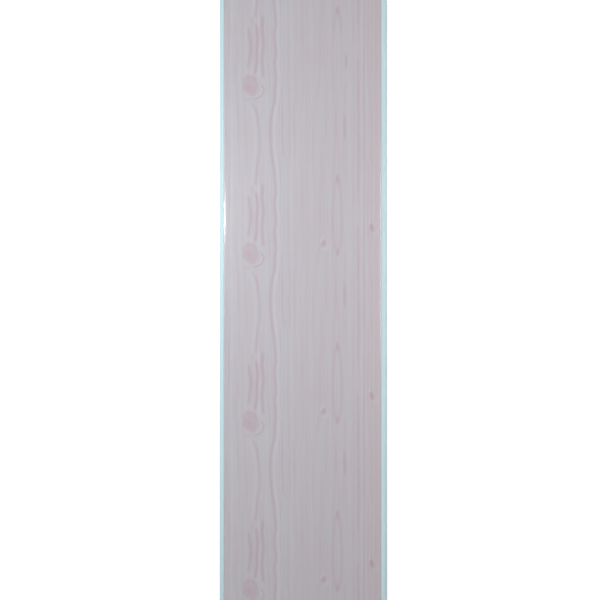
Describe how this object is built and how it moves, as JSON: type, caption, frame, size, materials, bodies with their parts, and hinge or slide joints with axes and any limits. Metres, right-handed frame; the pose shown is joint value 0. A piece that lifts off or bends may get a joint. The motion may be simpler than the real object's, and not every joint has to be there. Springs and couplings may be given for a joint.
{
  "type": "pvc wall panel",
  "caption": "Hollow wall panel in rigid PVC with a printed wood-grain face, a tongue along one edge, and a groove and nailing flange along the other.",
  "frame": {"origin": "middle of the bottom of the bounding box: on the plane of the panel's back, half way along it", "axes": "+Z out of the printed face, +Y along the extrusion, +X across the panel from the tongue to the nailing flange"},
  "size_m": [0.2662, 2.7, 0.008],
  "materials": {
    "printed_pvc": "gloss"
  },
  "bodies": {
    "root": {"wall_panel": "printed_pvc"}
  },
  "joints": []
}
